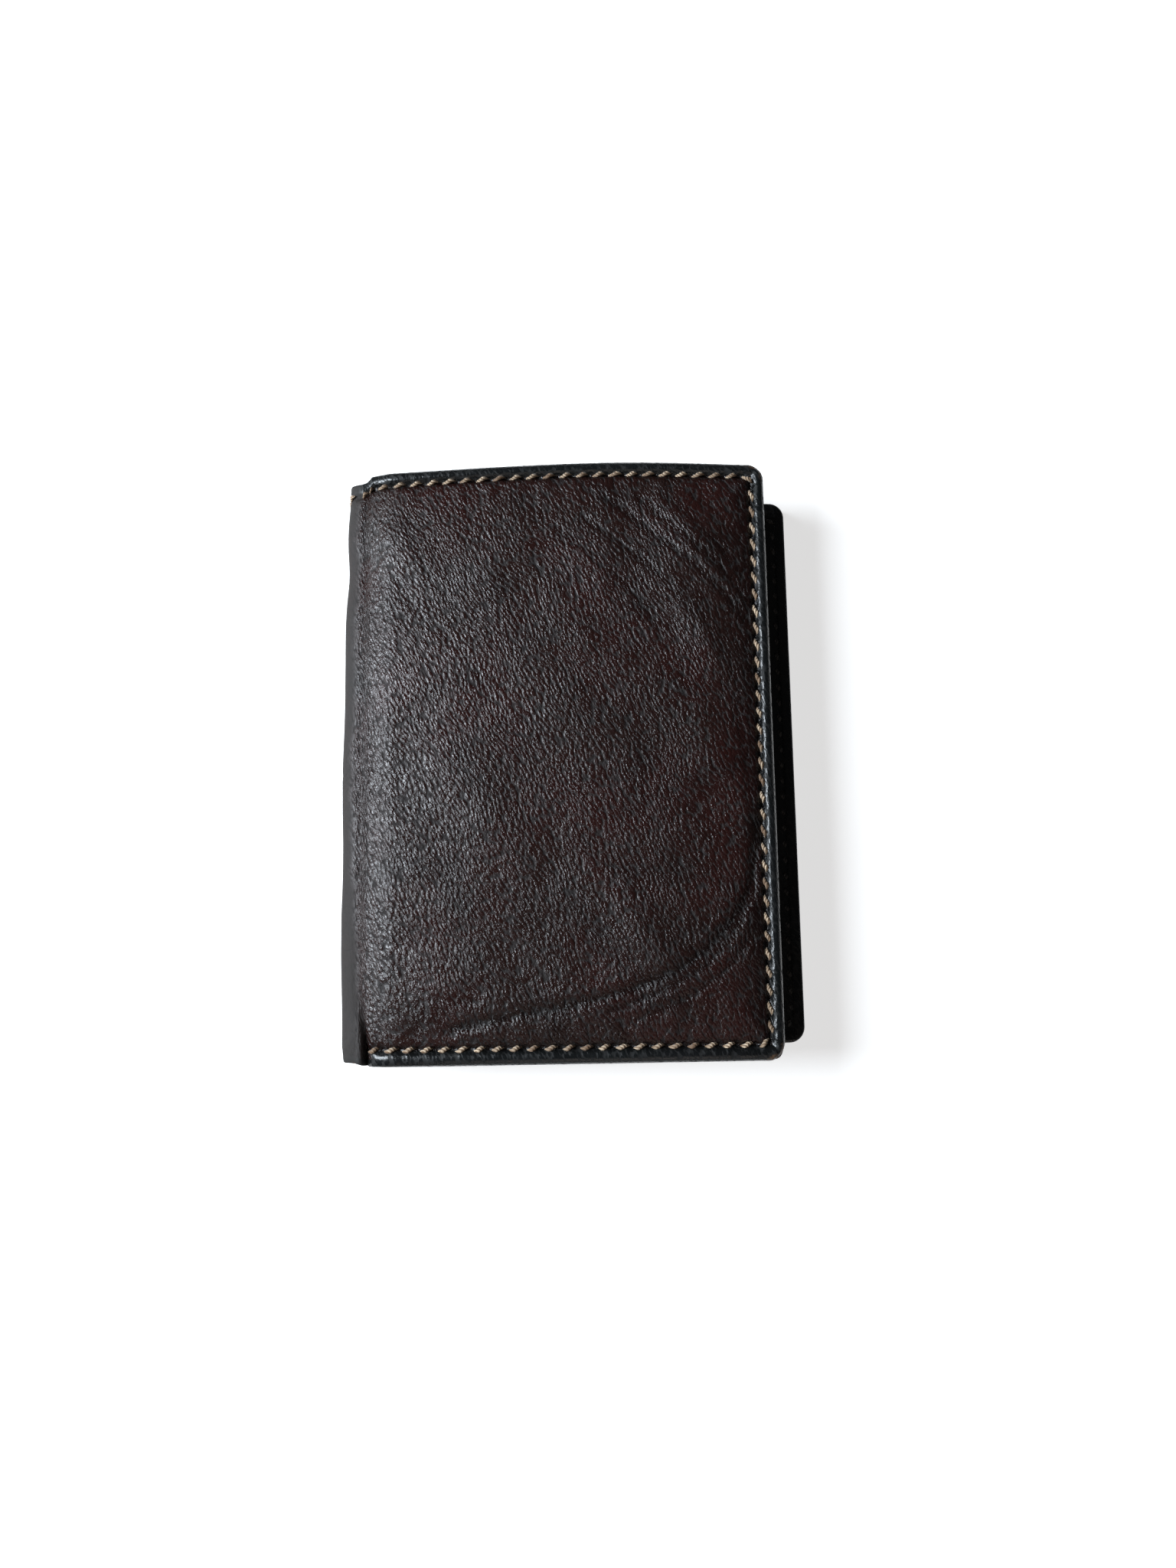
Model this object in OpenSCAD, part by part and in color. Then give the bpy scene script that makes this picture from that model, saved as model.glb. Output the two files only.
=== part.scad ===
// Trifold wallet, closed: front flap over an inner flap over the back panel.
// Frame: +X to the sewn free edge of the back panel, +Y to the top edge where the
// banknote compartment opens, +Z out of the front flap. It lies on its back panel.
// Origin: the middle of the underside of the closed wallet.

/* [Wallet] */
// Width of the closed wallet, from the outside of the fold to the sewn edge
wallet_w = 85; // [70:0.5:105]
// Height of the front flap and of the fold
wallet_h = 108; // [90:0.5:130]
// How much shorter the back panel is than the front flap, at each end
back_inset = 1; // [0:0.1:3]
// How far the front flap's free edge stops short of the back panel's sewn edge
flap_setback = 6.4; // [4:0.1:12]
// Outer radius of the two bends of the left fold
fold_r = 5; // [4:0.1:6]
// Radius of the front flap's two free corners
front_corner_r = 1.6; // [0.5:0.1:4]
// Radius of the back panel's two free corners
back_corner_r = 3; // [1:0.1:5]

/* [Leather and lining] */
// Thickness of the outer leather
leather_t = 1.2; // [0.9:0.1:1.6]
// Thickness of a skived, turned-in edge
hem_t = 0.8; // [0.6:0.1:1.2]
// Width of a turned-in edge
hem_w = 5.5; // [4:0.1:8]
// Thickness of the inner panels that carry the pockets
panel_t = 0.8; // [0.6:0.1:1.2]
// Thickness of one card pocket
pocket_t = 0.8; // [0.6:0.1:1.2]
// Thickness of the fabric lining
lining_t = 0.4; // [0.3:0.05:0.5]
// Thickness of the padding under the front leather
padding_t = 1.6; // [1:0.1:3]
// Room left open for banknotes behind the front flap's inner panel
note_gap = 0.4; // [0.3:0.1:1.5]

/* [Card pockets] */
// Width of a card pocket, sewn edge to sewn edge
pocket_w = 60; // [57:0.5:62]
// Height of the top edge of the shortest pocket above the pocket's foot
pocket_low = 54; // [40:0.5:60]
// Step from one pocket's top edge to the next
pocket_step = 14; // [8:0.5:16]
// Distance of a pocket's foot from the end of its panel
pocket_foot = 1.5; // [1:0.1:4]

/* [Inner flap] */
// Width of the inner flap, from its hinge to its free edge
inner_flap_w = 58; // [50:0.5:60]
// How much shorter the inner flap is than the front flap, at each end
inner_flap_inset = 2.5; // [1.5:0.1:5]
// Outer radius of the rolled leather hinge
roll_r = 1.9; // [1.6:0.1:2.3]
// Thickness of the clear window film
film_t = 0.3; // [0.2:0.05:0.5]
// Width of the identity card window
window_w = 42; // [30:0.5:46]
// Height of the identity card window
window_h = 74; // [50:0.5:80]
// Radius of the thumb notch at the top of the window
notch_r = 8; // [5:0.5:10]
// Radius of the inner flap's free corners
flap_corner_r = 3; // [1:0.1:6]

/* [Stitching] */
// Distance from one stitch to the next
stitch_pitch = 3.1; // [2.5:0.1:4]
// Length of one stitch
stitch_len = 2.3; // [1.8:0.1:2.4]
// Thickness of the thread
thread_d = 0.55; // [0.4:0.05:0.6]
// Slant of a stitch to its seam, in degrees
stitch_slant = 9; // [0:1:12]
// Distance of a seam from the edge it runs along
seam_inset = 2.5; // [2:0.1:4]
// Radius of a seam where it turns a corner
seam_turn_r = 2.2; // [1.8:0.1:4]
// Depth of the channel that the thread lies in
channel_d = 0.35; // [0.3:0.05:0.4]

/* [Clearances] */
// Air between the back card pockets and the inner flap
flap_air = 0.6; // [0.4:0.1:1.5]
// Air between the inner flap and the front card pockets
front_air = 1.6; // [1.5:0.1:3]
// Gap between panels of the outer leather where a fold moves
fold_gap = 0.3; // [0.3:0.1:0.6]
// Side clearance of anything laid into an opening
fit_gap = 0.2; // [0.1:0.05:0.5]

/* [Hidden] */
$fn = 48;
eps = 0.01;
bleed = 1;

LEATHER = "#2e2422";
LEATHER_EDGE = "#1f1817";
INNER_LEATHER = "#352927";
LINING = "#2a2626";
THREAD = "#a88d66";
DARK_THREAD = "#4d4440";
FOAM = "#8a8680";
FILM = "#c9d3d6";

// Heights of the layers, from the table upwards
back_hem_z = leather_t;
back_note_z = back_hem_z + lining_t;
back_panel_z = back_note_z + note_gap;
back_pocket_z = back_panel_z + panel_t;
back_top_z = back_pocket_z + 3 * pocket_t;
window_z = back_top_z + flap_air;
film_z = window_z + panel_t;
flap_pocket_z = film_z + film_t;
flap_hem_z = flap_pocket_z + panel_t;
flap_leather_z = flap_hem_z + hem_t;
flap_top_z = flap_leather_z + leather_t;
front_pocket_z = flap_top_z + front_air;
front_panel_z = front_pocket_z + 3 * pocket_t;
front_note_z = front_panel_z + panel_t;
front_lining_z = front_note_z + note_gap;
front_padding_z = front_lining_z + lining_t;
front_leather_z = front_padding_z + padding_t;
wallet_t = front_leather_z + leather_t;

// Places across the wallet
fold_x = -wallet_w / 2;
panel_x = fold_x + fold_r + fold_gap;
back_edge_x = wallet_w / 2;
front_edge_x = back_edge_x - flap_setback;
hinge_x = front_edge_x - roll_r - fit_gap;
hinge_z = back_pocket_z + roll_r;
tab_end_x = hinge_x - roll_r - fit_gap;
tab_w = seam_inset + stitch_len;
inner_seam_x = tab_end_x + fit_gap + bleed;
inner_free_x = hinge_x - inner_flap_w;
back_pocket_x1 = tab_end_x - tab_w - fit_gap;
back_pocket_x0 = back_pocket_x1 - pocket_w;
front_pocket_x1 = front_edge_x - seam_inset;
front_pocket_x0 = front_pocket_x1 - pocket_w;
fold_end_y = wallet_h / 2;
back_h = wallet_h - 2 * back_inset;
inner_flap_h = wallet_h - 2 * inner_flap_inset;

// Seams
corner_sag = seam_turn_r - sqrt(seam_turn_r * seam_turn_r - stitch_len * stitch_len / 4);
channel_w = thread_d + stitch_len * sin(stitch_slant) + corner_sag + fit_gap;
thread_h = channel_d - 0.05;

// ---- flat outlines ----

// A panel that is square at the fold and has two rounded free corners
module panel_outline(x0, x1, h, r) {
    translate([x0, -h / 2]) square([x1 - r - x0, h]);
    translate([x1 - r - eps, -h / 2 + r]) square([r + eps, h - 2 * r]);
    for (s = [-1, 1])
        translate([x1 - r, s * (h / 2 - r)]) circle(r);
}

module panel_plate(x0, x1, h, r, z, t) {
    translate([0, 0, z]) linear_extrude(t) panel_outline(x0, x1, h, r);
}

module flat_plate(x0, x1, y0, y1, z, t) {
    translate([x0, y0, z]) cube([x1 - x0, y1 - y0, t]);
}

// The U of a turned edge: the panel's outline less what lies inside the turned strip
module turned_edge(x0, x1, h, r, z, t) {
    translate([0, 0, z]) linear_extrude(t) difference() {
        panel_outline(x0, x1, h, r);
        translate([x0 - bleed, -h / 2 + hem_w])
            square([x1 - x0 - hem_w + bleed, h - 2 * hem_w]);
    }
}

// The mouth of the banknote compartment, cut through the top strip of a turned edge
module note_mouth(x0, x1, h, z) {
    translate([x0 - bleed, h / 2 - hem_w - bleed, z])
        cube([x1 - x0 - hem_w + bleed, hem_w + 2 * bleed, note_gap]);
}

// ---- seams ----

// Half height, corner radius and far side of a seam that runs along three edges
function seam_half(h) = h / 2 - seam_inset;
function seam_side(x1) = x1 - seam_inset;
function seam_r(r) = max(r - seam_inset, 0) + seam_turn_r;

function seam_length(x0, xr, hy, r) = 2 * (xr - r - x0) + PI * r + 2 * (hy - r);

// Place and heading at a distance along the seam, from the top left round to the bottom left
function seam_place(s, x0, xr, hy, r) =
    let (a = xr - r - x0, q = PI * r / 2, b = 2 * (hy - r))
    s < a ? [x0 + s, hy, 0]
    : s < a + q ? let (t = (s - a) / r * 180 / PI)
        [xr - r + r * sin(t), hy - r + r * cos(t), -t]
    : s < a + q + b ? [xr, hy - r - (s - a - q), -90]
    : s < a + 2 * q + b ? let (t = (s - a - q - b) / r * 180 / PI)
        [xr - r + r * cos(t), -hy + r - r * sin(t), -90 - t]
    : [xr - r - (s - a - 2 * q - b), -hy, -180];

module stitch() {
    linear_extrude(thread_h) {
        square([stitch_len - thread_d, thread_d], center = true);
        for (s = [-1, 1])
            translate([s * (stitch_len - thread_d) / 2, 0]) circle(d = thread_d, $fn = 24);
    }
}

// Stitches of a three-sided seam between two fractions of its length
module seam(x0, x1, h, corner, z, from = 0, to = 1) {
    xr = seam_side(x1);
    hy = seam_half(h);
    r = seam_r(corner);
    total = seam_length(x0, xr, hy, r);
    count = round(total / stitch_pitch);
    for (i = [0 : count - 1]) {
        s = (i + 0.5) * total / count;
        p = seam_place(s, x0, xr, hy, r);
        if (s / total >= from && s / total < to)
            translate([p.x, p.y, z]) rotate(p.z + stitch_slant) stitch();
    }
}

// The channel that such a seam lies in
module seam_channel(x0, x1, h, corner, z) {
    xr = seam_side(x1);
    hy = seam_half(h);
    r = seam_r(corner);
    translate([0, 0, z]) linear_extrude(channel_d + bleed) difference() {
        panel_outline(x0 - bleed, xr + channel_w / 2, 2 * hy + channel_w, r + channel_w / 2);
        panel_outline(x0 - 2 * bleed, xr - channel_w / 2, 2 * hy - channel_w,
                      r - channel_w / 2);
    }
}

// Fractions of the front seam at which its three runs meet, in the corners
front_seam_r = seam_r(front_corner_r);
front_seam_total = seam_length(panel_x, seam_side(front_edge_x), seam_half(wallet_h),
                               front_seam_r);
front_seam_turn = (seam_side(front_edge_x) - front_seam_r - panel_x
                   + PI * front_seam_r / 4) / front_seam_total;

// ---- back panel ----

module back_outer_leather() {
    color(LEATHER) difference() {
        panel_plate(panel_x, back_edge_x, back_h, back_corner_r, 0, leather_t);
        translate([0, 0, -bleed])
            seam_channel(panel_x, back_edge_x, back_h, back_corner_r, 0);
    }
}

module back_turned_edge() {
    color(LEATHER_EDGE) difference() {
        turned_edge(panel_x, back_edge_x, back_h, back_corner_r, back_hem_z,
                    back_panel_z - back_hem_z);
        note_mouth(panel_x, back_edge_x, back_h, back_note_z);
    }
}

module back_lining() {
    color(LINING)
        flat_plate(panel_x, back_edge_x - hem_w - fit_gap, -back_h / 2 + hem_w + fit_gap,
                   back_h / 2 - hem_w - fit_gap, back_hem_z, lining_t);
}

module back_inner_panel() {
    color(INNER_LEATHER) difference() {
        panel_plate(panel_x, back_edge_x, back_h, back_corner_r, back_panel_z, panel_t);
        seam_channel(inner_seam_x, back_edge_x, back_h, back_corner_r,
                     back_pocket_z - channel_d);
    }
}

module card_pocket(x0, h, layer, z) {
    foot = -h / 2 + pocket_foot;
    flat_plate(x0, x0 + pocket_w, foot, foot + pocket_low + (2 - layer) * pocket_step,
               z, pocket_t);
}

module back_card_pocket(layer) {
    color(INNER_LEATHER)
        card_pocket(back_pocket_x0, back_h, layer, back_pocket_z + layer * pocket_t);
}

module back_card_pocket_tall() { back_card_pocket(0); }
module back_card_pocket_middle() { back_card_pocket(1); }
module back_card_pocket_short() { back_card_pocket(2); }

module back_outer_seam() {
    color(THREAD)
        seam(panel_x, back_edge_x, back_h, back_corner_r, channel_d - thread_h);
}

module back_inner_seam() {
    color(DARK_THREAD)
        seam(inner_seam_x, back_edge_x, back_h, back_corner_r,
             back_pocket_z - channel_d);
}

module inner_flap_hinge_tab() {
    color(INNER_LEATHER)
        flat_plate(tab_end_x - tab_w, tab_end_x, -inner_flap_h / 2, inner_flap_h / 2,
                   back_pocket_z, panel_t);
}

// ---- left fold ----

// Cross-section of the fold: two bends and the wall between them, from out to in
module fold_outline(skin, depth) {
    for (top = [0, 1])
        translate([fold_x + fold_r, top ? wallet_t - fold_r : fold_r])
            intersection() {
                difference() {
                    circle(fold_r - skin);
                    circle(fold_r - skin - depth);
                }
                translate([-fold_r - bleed, top ? 0 : -fold_r - bleed])
                    square(fold_r + bleed);
            }
    translate([fold_x + skin, fold_r - eps])
        square([depth, wallet_t - 2 * fold_r + 2 * eps]);
}

module fold_slab(skin, depth, y0, y1) {
    translate([0, y1, 0]) rotate([90, 0, 0]) linear_extrude(y1 - y0)
        fold_outline(skin, depth);
}

module fold_outer_leather() {
    color(LEATHER) difference() {
        fold_slab(0, leather_t, -fold_end_y, fold_end_y);
        fold_slab(-bleed, bleed + channel_d, seam_half(wallet_h) - channel_w / 2,
                  seam_half(wallet_h) + channel_w / 2);
    }
}

module fold_lining() {
    color(LINING)
        translate([fold_x + leather_t, -fold_end_y + hem_w, fold_r])
            cube([lining_t, 2 * (fold_end_y - hem_w), wallet_t - 2 * fold_r]);
}

// Stitches up the wall of the fold, and one on each of its bends
module fold_top_seam() {
    wall = wallet_t - 2 * fold_r;
    count = max(1, round(wall / stitch_pitch));
    color(THREAD) translate([fold_x, seam_half(wallet_h), 0]) {
        for (i = [0 : count - 1])
            translate([channel_d, 0, fold_r + (i + 0.5) * wall / count])
                rotate([0, -90, 0]) rotate(stitch_slant) stitch();
        for (top = [0, 1])
            translate([fold_r, 0, top ? wallet_t - fold_r : fold_r])
                rotate([0, top ? 45 : -45, 0]) translate([channel_d - fold_r, 0, 0])
                    rotate([0, -90, 0]) rotate(stitch_slant) stitch();
    }
}

// ---- front flap ----

module front_outer_leather() {
    color(LEATHER) difference() {
        panel_plate(panel_x, front_edge_x, wallet_h, front_corner_r, front_leather_z,
                    leather_t);
        seam_channel(panel_x, front_edge_x, wallet_h, front_corner_r,
                     wallet_t - channel_d);
    }
}

module front_turned_edge() {
    color(LEATHER_EDGE) difference() {
        turned_edge(panel_x, front_edge_x, wallet_h, front_corner_r, front_note_z,
                    front_leather_z - front_note_z);
        translate([0, 0, -eps]) note_mouth(panel_x, front_edge_x, wallet_h, front_note_z);
    }
}

module front_inside(z, t) {
    flat_plate(panel_x, front_edge_x - hem_w - fit_gap, -wallet_h / 2 + hem_w + fit_gap,
               wallet_h / 2 - hem_w - fit_gap, z, t);
}

module front_padding() { color(FOAM) front_inside(front_padding_z, padding_t); }
module front_lining() { color(LINING) front_inside(front_lining_z, lining_t); }

module front_inner_panel() {
    color(INNER_LEATHER)
        panel_plate(panel_x, front_edge_x, wallet_h, front_corner_r, front_panel_z,
                    panel_t);
}

module front_card_pocket(layer) {
    color(INNER_LEATHER)
        card_pocket(front_pocket_x0, wallet_h, layer,
                    front_panel_z - (layer + 1) * pocket_t);
}

module front_card_pocket_tall() { front_card_pocket(0); }
module front_card_pocket_middle() { front_card_pocket(1); }
module front_card_pocket_short() { front_card_pocket(2); }

module front_seam(from, to) {
    color(THREAD)
        seam(panel_x, front_edge_x, wallet_h, front_corner_r, wallet_t - channel_d,
             from, to);
}

module front_top_seam() { front_seam(0, front_seam_turn); }
module front_side_seam() { front_seam(front_seam_turn, 1 - front_seam_turn); }
module front_bottom_seam() { front_seam(1 - front_seam_turn, 1); }

// ---- inner flap ----

// Right half of a tube round the hinge axis
module inner_flap_hinge_roll() {
    color(INNER_LEATHER)
        translate([hinge_x, inner_flap_h / 2, hinge_z]) rotate([90, 0, 0])
            linear_extrude(inner_flap_h) intersection() {
                difference() {
                    circle(roll_r);
                    circle(roll_r - panel_t);
                }
                translate([0, -roll_r - bleed]) square(2 * (roll_r + bleed));
            }
}

module inner_flap_plate(z, t) {
    mirror([1, 0, 0])
        panel_plate(-hinge_x, -inner_free_x, inner_flap_h, flap_corner_r, z, t);
}

module window_frame() {
    middle_x = inner_free_x + hem_w + window_w / 2;
    color(INNER_LEATHER) difference() {
        inner_flap_plate(window_z, panel_t);
        translate([middle_x - window_w / 2, -window_h / 2, window_z - bleed])
            cube([window_w, window_h, panel_t + 2 * bleed]);
        translate([middle_x, window_h / 2, window_z - bleed])
            cylinder(r = notch_r, h = panel_t + 2 * bleed);
    }
}

module window_film() {
    color(FILM)
        flat_plate(inner_free_x + hem_w - 3, inner_free_x + hem_w + window_w + 3,
                   -window_h / 2 - 3, window_h / 2 + 3, film_z, film_t);
}

module inner_flap_pocket() {
    color(INNER_LEATHER) inner_flap_plate(flap_pocket_z, panel_t);
}

module inner_flap_turned_edge() {
    color(LEATHER_EDGE) mirror([1, 0, 0])
        turned_edge(-hinge_x, -inner_free_x, inner_flap_h, flap_corner_r, flap_hem_z,
                    hem_t);
}

module inner_flap_leather() {
    color(LEATHER) difference() {
        inner_flap_plate(flap_leather_z, leather_t);
        mirror([1, 0, 0])
            seam_channel(-hinge_x, -inner_free_x, inner_flap_h, flap_corner_r,
                         flap_top_z - channel_d);
    }
}

module inner_flap_seam() {
    color(THREAD) mirror([1, 0, 0])
        seam(-hinge_x, -inner_free_x, inner_flap_h, flap_corner_r,
             flap_top_z - channel_d);
}

back_outer_leather();
back_turned_edge();
back_lining();
back_inner_panel();
back_card_pocket_tall();
back_card_pocket_middle();
back_card_pocket_short();
back_outer_seam();
back_inner_seam();
inner_flap_hinge_tab();
fold_outer_leather();
fold_lining();
fold_top_seam();
front_outer_leather();
front_turned_edge();
front_padding();
front_lining();
front_inner_panel();
front_card_pocket_tall();
front_card_pocket_middle();
front_card_pocket_short();
front_top_seam();
front_side_seam();
front_bottom_seam();
inner_flap_hinge_roll();
window_frame();
window_film();
inner_flap_pocket();
inner_flap_turned_edge();
inner_flap_leather();
inner_flap_seam();
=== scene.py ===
# %% [markdown]
# # A closed trifold wallet in pebbled leather
# A wallet is a stack of thin leather sheets, sewn round its edges and bent at its folds.
# Nothing in it is thick or square: each sheet has a rounded or rolled edge, each seam pulls
# the leather down, and between the seams it puffs up again. So every sheet here is a grid of
# points with a height worked out for each point, closed into a shell with rounded sides.
# The fixed frame gives each sheet its place.

import bpy
import numpy as np
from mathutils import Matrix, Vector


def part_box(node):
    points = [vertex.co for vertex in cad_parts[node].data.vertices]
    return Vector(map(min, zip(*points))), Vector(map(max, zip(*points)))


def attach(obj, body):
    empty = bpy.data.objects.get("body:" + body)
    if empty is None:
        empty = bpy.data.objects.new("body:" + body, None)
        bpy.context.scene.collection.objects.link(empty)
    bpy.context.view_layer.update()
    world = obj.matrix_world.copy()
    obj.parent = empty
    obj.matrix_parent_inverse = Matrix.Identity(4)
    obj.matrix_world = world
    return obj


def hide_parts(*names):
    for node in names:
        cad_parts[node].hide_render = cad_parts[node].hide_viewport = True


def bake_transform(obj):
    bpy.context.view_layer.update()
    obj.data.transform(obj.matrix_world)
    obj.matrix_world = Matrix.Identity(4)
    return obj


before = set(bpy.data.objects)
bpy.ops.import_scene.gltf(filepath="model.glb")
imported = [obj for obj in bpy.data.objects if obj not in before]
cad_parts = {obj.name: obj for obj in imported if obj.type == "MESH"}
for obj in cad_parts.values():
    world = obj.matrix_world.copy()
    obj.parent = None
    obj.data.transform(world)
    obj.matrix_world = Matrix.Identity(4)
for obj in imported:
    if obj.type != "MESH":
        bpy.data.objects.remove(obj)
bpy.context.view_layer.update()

# %% [markdown]
# ## The sizes that everything follows
# All shapes are worked out in millimetres, because a wallet maker thinks in them, and turned
# into metres as the last step. The layers' heights and the panels' edges are read from the
# frame's own boxes. A seam's inset and pitch are this wallet's: a stitch every 3.1 mm.

# %% Sizes
MM = 0.001


def node_box(node):
    """Lowest and highest corner of a frame node in millimetres."""
    low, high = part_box(node)
    return np.array(low) / MM, np.array(high) / MM


front_high = node_box("front_outer_leather")[1]
back_high = node_box("back_outer_leather")[1]
fold_low, fold_high = node_box("fold_outer_leather")
roll_low, roll_high = node_box("inner_flap_hinge_roll")
wallet_t = front_high[2]
fold_x = fold_low[0]
fold_r = node_box("fold_lining")[0][2]
half_h = front_high[1]
back_half = back_high[1]
front_edge = front_high[0]
back_edge = back_high[0]
panel_x = fold_x + fold_r
seam_inset = 2.5
seam_turn_r = 2.2
wide_turn_r = seam_turn_r + 0.5
stitch_pitch = 3.1
stitch_slant = np.radians(14)
rng = np.random.default_rng(7)
print("closed wallet:", fold_high - fold_low, "front edge at", front_edge)


# %% [markdown]
# ## Grids that are fine where the detail is
# A seam needs a point every quarter of a millimetre, and the middle of a panel doesn't.
# A graded line of positions gives both: the wanted spacing is summed along the line, and
# equal steps of that sum are turned back into positions.

# %% Graded lines, noise and smooth steps
def graded(low, high, coarse, fine, zones=()):
    """Positions from low to high, fine apart inside the zones and coarse apart elsewhere."""
    t = np.linspace(low, high, 6000)
    spacing = np.full(t.size, float(coarse))
    for start, end in zones:
        spacing[(t >= start) & (t <= end)] = fine
    spacing = np.convolve(np.pad(spacing, 60, mode="edge"), np.ones(121) / 121, "valid")
    steps = np.concatenate([[0], np.cumsum(np.diff(t) / spacing[:-1])])
    return np.interp(np.linspace(0, steps[-1], int(np.ceil(steps[-1])) + 1), steps, t)


def grid(first, second):
    """Two lines of positions as a grid whose rows follow the first."""
    return np.meshgrid(first, second, indexing="ij")


def smooth(t):
    """0 below 0, 1 above 1 and an S-curve between."""
    t = np.clip(t, 0, 1)
    return t * t * (3 - 2 * t)


def bell(t):
    """1 at 0, falling on both sides like a bell: e to the power of minus t squared."""
    return np.exp(-t**2)


def ripple(x, y, size, seed, waves=9):
    """Soft unevenness between about -1 and 1: a sum of sine waves in random directions."""
    own = np.random.default_rng(seed)
    total = np.zeros(np.broadcast(x, y).shape)
    for _ in range(waves):
        turn = own.uniform(0, 2 * np.pi)
        wave = 2 * np.pi / (size * own.uniform(0.7, 1.6))
        shift = own.uniform(0, 2 * np.pi)
        total += np.sin(wave * (x * np.cos(turn) + y * np.sin(turn)) + shift)
    return total / np.sqrt(waves * 2)


def valley(x, y, path, width):
    """1 on a drawn line through path and falling to 0 over width beside it."""
    points = np.array(path, float)
    run = np.linspace(0, len(points) - 1, 60)
    px = np.interp(run, np.arange(len(points)), points[:, 0])
    py = np.interp(run, np.arange(len(points)), points[:, 1])
    near = np.full(x.shape, 1e9)
    for a, b in zip(px, py):
        near = np.minimum(near, (x - a) ** 2 + (y - b) ** 2)
    return np.exp(-near / width**2)


# %% [markdown]
# ## From a height to a closed shell
# A sheet of leather has a top, an underside and an edge all round. The top and the underside
# share one grid, so the edge can be a ladder of loops that swing out and down from one
# border to the other, in a half circle. The direction outwards is square to the border.

# %% Closed shells
def border(rows):
    """The border points of a grid, once round, anticlockwise as seen from above."""
    return np.concatenate([rows[:-1, 0], rows[-1, :-1], rows[:0:-1, -1], rows[0, :0:-1]])


def grid_faces(count, width, first=0, up=True):
    """Four-cornered faces of a grid of points, looking up or down."""
    i, j = grid(np.arange(count - 1), np.arange(width - 1))
    corner = (first + i * width + j).ravel()
    faces = np.stack([corner, corner + width, corner + width + 1, corner + 1], 1)
    return faces if up else faces[:, ::-1]


def outward(x, y, fixed_start):
    """Unit vectors square to a border loop. A fixed start keeps its first side from moving."""
    bx, by = border(x), border(y)
    tx = np.roll(bx, -1) - np.roll(bx, 1)
    ty = np.roll(by, -1) - np.roll(by, 1)
    length = np.hypot(tx, ty) + 1e-12
    nx, ny = ty / length, -tx / length
    if fixed_start:
        start = border(np.arange(x.shape[0])[:, None] + np.zeros(x.shape, int)) == 0
        nx[start] = 0
        ny[start] = 0
        ends = start & ((by == y[0, 0]) | (by == y[0, -1]))
        ny[ends] = np.sign(by[ends])
    return nx, ny


def shell(x, y, top, bottom, bulge, loops=5, fixed_start=False):
    """Points (x, y, height) and faces of a closed sheet whose sides are half-round by bulge."""
    count, width = x.shape
    bx, by, bt, bb = border(x), border(y), border(top), border(bottom)
    nx, ny = outward(x, y, fixed_start)
    angle = np.linspace(0, np.pi, loops + 2)[1:-1, None]
    swing = bulge * np.sin(angle)
    ring_x = bx + nx * swing
    ring_y = by + ny * swing
    ring_h = (bt + bb) / 2 + (bt - bb) / 2 * np.cos(angle)
    xs = np.concatenate([x.ravel(), x.ravel(), ring_x.ravel()])
    ys = np.concatenate([y.ravel(), y.ravel(), ring_y.ravel()])
    hs = np.concatenate([top.ravel(), bottom.ravel(), ring_h.ravel()])
    index = np.arange(count * width).reshape(count, width)
    round_top = border(index)
    size = round_top.size
    ladder = [round_top]
    ladder += [2 * index.size + k * size + np.arange(size) for k in range(loops)]
    ladder += [round_top + index.size]
    sides = []
    for upper, lower in zip(ladder[:-1], ladder[1:]):
        sides.append(np.stack([upper, lower, np.roll(lower, -1), np.roll(upper, -1)], 1))
    faces = [grid_faces(count, width), grid_faces(count, width, index.size, up=False)]
    return np.stack([xs, ys, hs], 1), np.concatenate(faces + sides)


def round_corners(x, y, x_low, x_high, half, r_low, r_high):
    """Moves a square grid's corner squares on to quarter discs, which rounds its outline."""
    x, y = x.copy(), y.copy()
    for x_edge, sign, r in ((x_low, -1, r_low), (x_high, 1, r_high)):
        if r <= 0:
            continue
        a = np.clip((x - x_edge) * sign / r + 1, 0, 1)
        b = np.clip((np.abs(y) - half) / r + 1, 0, 1)
        x += sign * r * (a * np.sqrt(1 - b * b / 2) - a)
        y += np.sign(y) * r * (b * np.sqrt(1 - a * a / 2) - b)
    return x, y


def place_mesh(name, points, faces, skin):
    """A smooth object from points in millimetres and lists of corners, with its skin places."""
    mesh = bpy.data.meshes.new(name)
    mesh.from_pydata((points * MM).tolist(), [], faces)
    mesh.update()
    hide = mesh.attributes.new("skin", "FLOAT_VECTOR", "POINT")
    hide.data.foreach_set("vector", (skin * MM).ravel())
    mesh.shade_smooth()
    piece = bpy.data.objects.new(name, mesh)
    bpy.context.scene.collection.objects.link(piece)
    print(f"{name}: {len(faces)} faces")
    return piece


def make_mesh(name, points, faces, skin=None, turned=False, wear_and_shade=None, cut=None):
    """A smooth mesh in metres. skin is each point's place on the flat hide, and three shares
    for it give its wear and painted shade: how smooth it is stretched, how raw it is rubbed,
    and how dark its painted shade is.
    Edges between points in cut are sharp, so two pieces can meet there without a shadow."""
    faces = faces[:, ::-1] if turned else faces
    piece = place_mesh(name, points, faces.tolist(), points if skin is None else skin)
    mesh = piece.data
    if wear_and_shade is not None:
        shares = mesh.attributes.new("wear_and_shade", "FLOAT_VECTOR", "POINT")
        shares.data.foreach_set("vector", np.clip(wear_and_shade, 0, 1).ravel())
    if cut is not None:
        ends = np.zeros(2 * len(mesh.edges), np.int32)
        mesh.edges.foreach_get("vertices", ends)
        sharp = mesh.attributes.new("sharp_edge", "BOOLEAN", "EDGE")
        sharp.data.foreach_set("value", cut[ends.reshape(-1, 2)].all(1))
    return piece


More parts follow.
